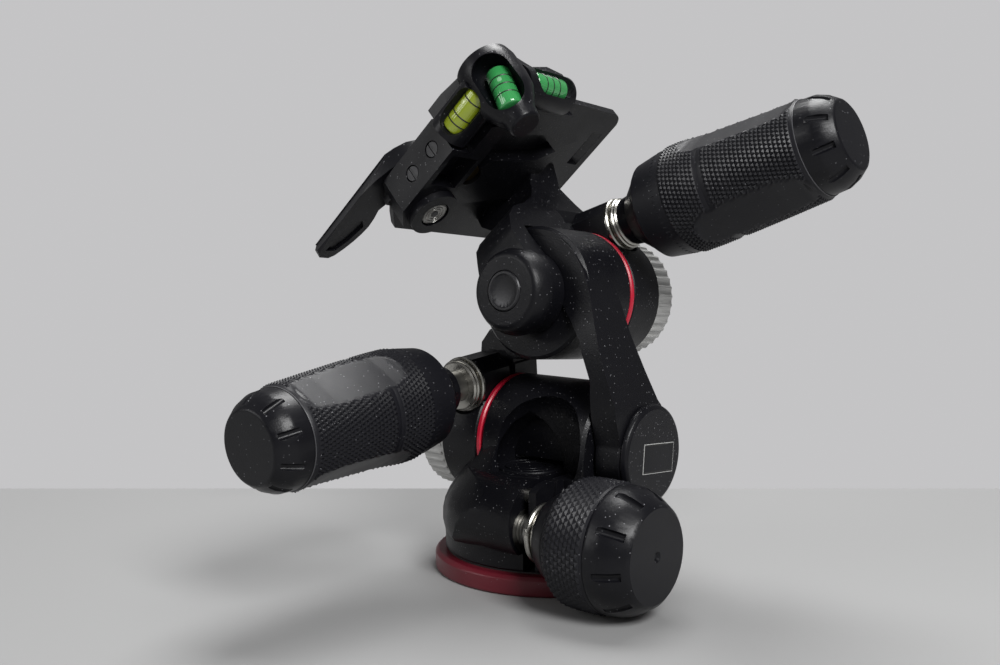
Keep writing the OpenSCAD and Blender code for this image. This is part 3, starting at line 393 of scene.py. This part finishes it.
badge_sheet("badge_edge", 0.5, 0.10, PALE_GREY, "pale_grey")
badge_sheet("badge_rim", 0.2, 0.13, INK, "black_plastic")
badge_sheet("badge_plate", -0.6, 0.16, SATIN_BLACK, "black_plastic")

# ---- Lower handle --------------------------------------------------------------
# A steel stem with turned washers carries a moulded core. The sleeve over it is
# knurled rubber with three smooth scallops, and the cap at its end has grooves.

GRIP_PROFILE = [
    (8.6, 11.8), (9.46, 12.6), (14.2, 13.35), (17.6, 13.7), (24.1, 13.65),
    (34.0, 13.25), (43.9, 12.75), (53.6, 12.2), (54.1, 11.97),
]
GRIP_KNURL = (74, 18.0, 53.2, 0.46, 0.012)
GRIP_DIPS = (
    (60, 180, 300),
    [(22.0, 13.9), (24.2, 12.9), (27, 12.4), (34, 11.95), (45, 11.45), (51, 11.5), (53.4, 12.15)],
)
GRIP_START = 15.6
GRIP_SEAM = 29.0
LOWER_REACH = 5

# A thin ring of grey, paler than the black rubber, runs round the end of the sleeve.
TRIM = coated("pale_lip_ring", (0.06, 0.06, 0.065), 0.4)


def tick_band(name, frame_matrix, first, last, radius, count):
    """Short raised marks that run round the smooth band before the knurl."""
    deselect_all()
    marks = []
    for k in range(count):
        turn = 2 * math.pi * k / count
        middle = (first + last) / 2 * MM
        bpy.ops.mesh.primitive_cube_add(size=1.0, location=(radius * MM, 0, middle))
        mark = bpy.context.object
        mark.scale = (0.5 * MM, 0.42 * MM, (last - first) * MM)
        bpy.ops.object.transform_apply(location=True, rotation=True, scale=True)
        bpy.ops.object.mode_set(mode="EDIT")
        bpy.ops.mesh.select_all(action="SELECT")
        bpy.ops.mesh.bevel(offset=0.12 * MM, segments=1)
        bpy.ops.object.mode_set(mode="OBJECT")
        mark.data.transform(Matrix.Rotation(turn, 4, "Z"))
        marks.append(mark)
    deselect_all()
    for mark in marks:
        mark.select_set(True)
    bpy.context.view_layer.objects.active = marks[0]
    bpy.ops.object.join()
    band = bpy.context.object
    band.name = name
    settle(band, frame_matrix)
    return band


def dressed_grip(side, frame_matrix):
    """The knurled sleeve, its tick marks and the softened core and cap of one handle."""
    body = side + "_pull"
    sleeve = rolled_knurl(
        side + "_knurl", frame_matrix, GRIP_PROFILE, GRIP_KNURL, GRIP_DIPS, GRIP_SEAM
    )
    belongs(sleeve, body, "grip_rubber", RUBBER, side + "_sleeve")
    marks = tick_band(side + "_ticks", frame_matrix, 15.4, 17.2, 13.35, 60)
    belongs(marks, body, "grip_rubber", RUBBER)
    eased(side + "_grip", body, SATIN_BLACK, 0.25)
    eased(side + "_grip_cap", body, SATIN_BLACK, 0.3)
    trim = turned_ring(side + "_trim", frame_matrix, 54.2, 11.95, 0.13)
    belongs(trim, body, "grip_rubber", TRIM)


def turned_ring(name, frame_matrix, z, radius, thick):
    """A thin wire ring about Z."""
    deselect_all()
    bpy.ops.mesh.primitive_torus_add(
        major_radius=radius * MM, minor_radius=thick * MM, major_segments=72, minor_segments=8
    )
    ring = bpy.context.object
    ring.name = name
    ring.data.transform(moved(0, 0, z))
    settle(ring, frame_matrix)
    bpy.ops.object.shade_smooth_by_angle(angle=math.radians(40))
    return ring


CLAMP_SCREW = moved(0, 15.8, 7.65) @ turned(90, "Y")
LOWER_CLAMP = ARM_FRAME @ turned(-90, "Y") @ moved(0, 0, 9.9) @ turned(-100.3, "Z")
dressed_grip("lower", LOWER_CLAMP @ CLAMP_SCREW @ moved(0, 0, GRIP_START + LOWER_REACH))
dress(STEEL, "lower_stem")
dress(SILVER, "lower_washers")

# ---- Upper friction wheel ------------------------------------------------------
# The same wheel and ring for the side tilt, behind the upper clamp collar.

eased("upper_wheel", "upper_friction", PALE_GREY, 0.25)
dress(CRIMSON, "upper_ring")
BLACK_STEEL = coated("black_steel", (0.012, 0.012, 0.014), 0.34, dust=0.05, metallic=0.3)
eased("upper_bolt", "yoke", BLACK_STEEL, 0.2)

# ---- Platform --------------------------------------------------------------------
# The casting that the camera plate slides into: a deck between two jaws, ribbed
# below, with an ear at the front that turns on the upper barrel.

eased("platform", "head", CAST_BLACK, 0.6)
dress(STEEL, "lever_spring")
dress(coated("brass", (0.12, 0.085, 0.03), 0.4, metallic=1.0), "trigger_pin")

# ---- Upper handle ------------------------------------------------------------------
# The same handle as the lower one, pushed fully in.

UPPER_CLAMP = (
    ARM_FRAME @ moved(3, 0, 38) @ turned(-90, "X") @ moved(0, 0, 4.6)
    @ turned(-19, "Z") @ Matrix.Scale(-1, 4, (0, 1, 0))
)
dressed_grip("upper", UPPER_CLAMP @ CLAMP_SCREW @ moved(0, 0, GRIP_START))
dress(STEEL, "upper_stem")
dress(SILVER, "upper_washers")

# ---- Plate lever -------------------------------------------------------------------
# A moulded lever that locks the camera plate. It turns on a bright shoulder screw.

eased("lever", "lock_lever", SATIN_BLACK, 0.6)
dress(STEEL, "lever_pivot")
HEAD_FRAME = ARM_FRAME @ moved(3, 0, 38) @ turned(-44, "Y")
PIVOT_FACE = HEAD_FRAME @ moved(-6.5, -23, 32.4)
for number, radius in enumerate((3.3, 2.5, 1.75)):
    circle_line = turned_ring("pivot_ring_%d" % (number + 1), PIVOT_FACE, 0.0, radius, 0.13)
    belongs(circle_line, "head", "steel", STEEL)
deselect_all()
bpy.ops.mesh.primitive_cylinder_add(vertices=6, radius=1.15 * MM, depth=0.3 * MM)
socket = bpy.context.object
socket.name = "pivot_socket"
bpy.ops.object.mode_set(mode="EDIT")
bpy.ops.mesh.select_all(action="SELECT")
bpy.ops.mesh.bevel(offset=0.08 * MM, segments=1)
bpy.ops.object.mode_set(mode="OBJECT")
settle(socket, PIVOT_FACE)
belongs(socket, "head", "steel", BLACK_STEEL)

# ---- Level holder ------------------------------------------------------------------
# A black moulding round the platform's corner with three windows for the levels,
# held by two small screws.

eased("level_holder", "head", SATIN_BLACK, 0.5)
eased("holder_screws", "head", BLACK_STEEL, 0.1)

# ---- Bubble levels -----------------------------------------------------------------
# Clear acrylic tubes of coloured spirit with thin black rings and a bubble.
# The side one is yellow-green, and the other two are green. The liquid and the bubble are given a
# faint painted glow.


def spirit_with_painted_glow(name, colour):
    """Coloured spirit behind polished acrylic, with a faint painted glow in its own colour, though
    it is no lamp.
    """
    material = coated(name, colour, 0.08, 0.02, 1500.0, 0.0, 0.0, coat=1.0)
    shader = material.node_tree.nodes["Principled BSDF"]
    shader.inputs["Coat Roughness"].default_value = 0.03
    # Painted glow: the liquid gives off a faint light in its own colour, though it is no lamp.
    shader.inputs["Emission Color"].default_value = (*colour, 1.0)
    shader.inputs["Emission Strength"].default_value = 0.06
    return material


def bubble_level(name, node, frame_matrix, colour, bubble_turn, bubble_at, lines):
    """One level: a round-ended tube, black rings round it, and a pale bubble under its skin, tube
    and bubble both with a faint painted glow.
    """
    deselect_all()
    bpy.ops.mesh.primitive_cylinder_add(vertices=48, radius=3.05 * MM, depth=11.9 * MM)
    tube = bpy.context.object
    tube.name = name
    bpy.ops.object.mode_set(mode="EDIT")
    bpy.ops.mesh.select_all(action="SELECT")
    bpy.ops.mesh.bevel(offset=0.6 * MM, segments=4)
    bpy.ops.object.mode_set(mode="OBJECT")
    settle(tube, frame_matrix)
    bpy.ops.object.shade_smooth_by_angle(angle=math.radians(30))
    # The tube's material carries the faint painted glow.
    belongs(tube, "head", "vial", spirit_with_painted_glow(name + "_spirit", colour), node)
    for k, z in enumerate(lines):
        ring = turned_ring("%s_line_%d" % (name, k + 1), frame_matrix, z, 2.98, 0.2)
        belongs(ring, "head", "vial", INK)
    deselect_all()
    bpy.ops.mesh.primitive_uv_sphere_add(segments=32, ring_count=16, radius=1.0 * MM)
    bubble = bpy.context.object
    bubble.name = name + "_bubble"
    bubble.scale = (0.72, 1.25, 2.1)
    bubble.location = (2.38 * MM, 0, bubble_at * MM)
    bpy.ops.object.transform_apply(location=True, rotation=True, scale=True)
    bubble.data.transform(turned(bubble_turn, "Z"))
    settle(bubble, frame_matrix)
    bpy.ops.object.shade_smooth()
    pale = tuple(0.16 + 1.1 * part for part in colour)
    # The bubble's material carries the same faint painted glow.
    belongs(bubble, "head", "vial", spirit_with_painted_glow(name + "_air_painted_glow", pale))


SIDE_LEVEL = HEAD_FRAME @ moved(22, -30.8, 38.8) @ turned(90, "Y")
CORNER_LEVEL = HEAD_FRAME @ moved(32, -28, 35.8) @ turned(6.8, "Y") @ turned(-10.8, "X")
EDGE_LEVEL = HEAD_FRAME @ moved(33.4, -10, 40) @ turned(90, "X")
LIME = (0.24, 0.30, 0.012)
GREEN = (0.035, 0.26, 0.07)
bubble_level("side_level", "vial_side", SIDE_LEVEL, LIME, -100, 2.0, (-3.4, -1.2, 3.6))
bubble_level("corner_level", "vial_corner", CORNER_LEVEL, GREEN, -60, 1.5, (-2.6, 0, 2.6))
bubble_level("edge_level", "vial_edge", EDGE_LEVEL, GREEN, 20, 1.0, (-2.6, 0, 2.6))

# ---- Studio ---------------------------------------------------------------
# A pale shelf that ends behind the object with a paler wall further back, soft
# lamps, and the camera.

deselect_all()
bpy.ops.mesh.primitive_plane_add(size=6.0, location=(0, 0, 0))
floor = bpy.context.object
floor.name = "floor"
SHELF_EDGE = 0.086
WALL_SHADE = 0.56
WALL_COLOUR = (0.99, 0.985, 1.0, 1)
CAMERA_TURN = 39.71
FLOOR = bpy.data.materials.new("pale_floor")
FLOOR.use_nodes = True
floor_tree = FLOOR.node_tree
floor_paint = floor_tree.nodes["Principled BSDF"]
floor_paint.inputs["Base Color"].default_value = (0.30, 0.30, 0.30, 1)
floor_paint.inputs["Roughness"].default_value = 0.6
floor_place = floor_tree.nodes.new("ShaderNodeTexCoord")
floor_turn = floor_tree.nodes.new("ShaderNodeMapping")
floor_turn.inputs["Rotation"].default_value = (0, 0, math.radians(-CAMERA_TURN))
floor_tree.links.new(floor_place.outputs["Object"], floor_turn.inputs["Vector"])
floor_axes = floor_tree.nodes.new("ShaderNodeSeparateXYZ")
floor_tree.links.new(floor_turn.outputs["Vector"], floor_axes.inputs["Vector"])
past_edge = add_range(floor_tree, floor_axes.outputs["Y"], SHELF_EDGE, SHELF_EDGE + 0.001)
floor_far = floor_tree.nodes.new("ShaderNodeVectorMath")
floor_far.operation = "LENGTH"
floor_tree.links.new(floor_place.outputs["Object"], floor_far.inputs[0])
far_out = add_range(floor_tree, floor_far.outputs["Value"], 0.28, 0.60)
pale_part = add_math(floor_tree, "MAXIMUM", past_edge, far_out)
rays = floor_tree.nodes.new("ShaderNodeLightPath")
wall = floor_tree.nodes.new("ShaderNodeEmission")
wall.inputs["Color"].default_value = WALL_COLOUR
wall.inputs["Strength"].default_value = WALL_SHADE
shelf_or_wall = floor_tree.nodes.new("ShaderNodeMixShader")
pale_seen = add_math(floor_tree, "MULTIPLY", pale_part, rays.outputs["Is Camera Ray"])
floor_tree.links.new(pale_seen, shelf_or_wall.inputs["Fac"])
floor_tree.links.new(floor_paint.outputs["BSDF"], shelf_or_wall.inputs[1])
floor_tree.links.new(wall.outputs["Emission"], shelf_or_wall.inputs[2])
floor_out = floor_tree.nodes["Material Output"]
floor_tree.links.new(shelf_or_wall.outputs["Shader"], floor_out.inputs["Surface"])
floor.data.materials.append(FLOOR)

world = bpy.data.worlds.new("soft_room")
bpy.context.scene.world = world
world.use_nodes = True
sky = world.node_tree.nodes["Background"]
sky.inputs["Color"].default_value = WALL_COLOUR
sky_rays = world.node_tree.nodes.new("ShaderNodeLightPath")
seen = add_range(world.node_tree, sky_rays.outputs["Is Camera Ray"], 0.0, 1.0, 0.16, WALL_SHADE)
world.node_tree.links.new(seen, sky.inputs["Strength"])


def soft_lamp(name, place, aim, size, power, colour=(1, 1, 1)):
    """A square area lamp that points at a place on the object."""
    lamp = bpy.data.lights.new(name, "AREA")
    lamp.size = size
    lamp.energy = power
    lamp.color = colour
    holder = bpy.data.objects.new(name, lamp)
    bpy.context.scene.collection.objects.link(holder)
    holder.location = place
    holder.rotation_euler = (Vector(aim) - Vector(place)).to_track_quat("-Z", "Y").to_euler()


MIDDLE = (0, 0, 0.07)
soft_lamp("window", (0.75, -0.35, 0.75), MIDDLE, 0.4, 12.0)
soft_lamp("fill", (-0.55, -0.8, 0.45), MIDDLE, 0.5, 2.5)
soft_lamp("top", (-0.15, 0.3, 0.9), MIDDLE, 0.45, 9.0)

camera_data = bpy.data.cameras.new("camera")
camera_data.lens = 44.13
camera_data.sensor_width = 36.0
camera_data.clip_start = 0.01
camera = bpy.data.objects.new("camera", camera_data)
bpy.context.scene.collection.objects.link(camera)
camera.location = (0.19163, -0.25122, 0.09303)
camera.rotation_euler = Euler((math.radians(90 - 5.77), 0, math.radians(CAMERA_TURN)))
bpy.context.scene.camera = camera
bpy.context.scene.view_settings.view_transform = "Standard"

deselect_all()
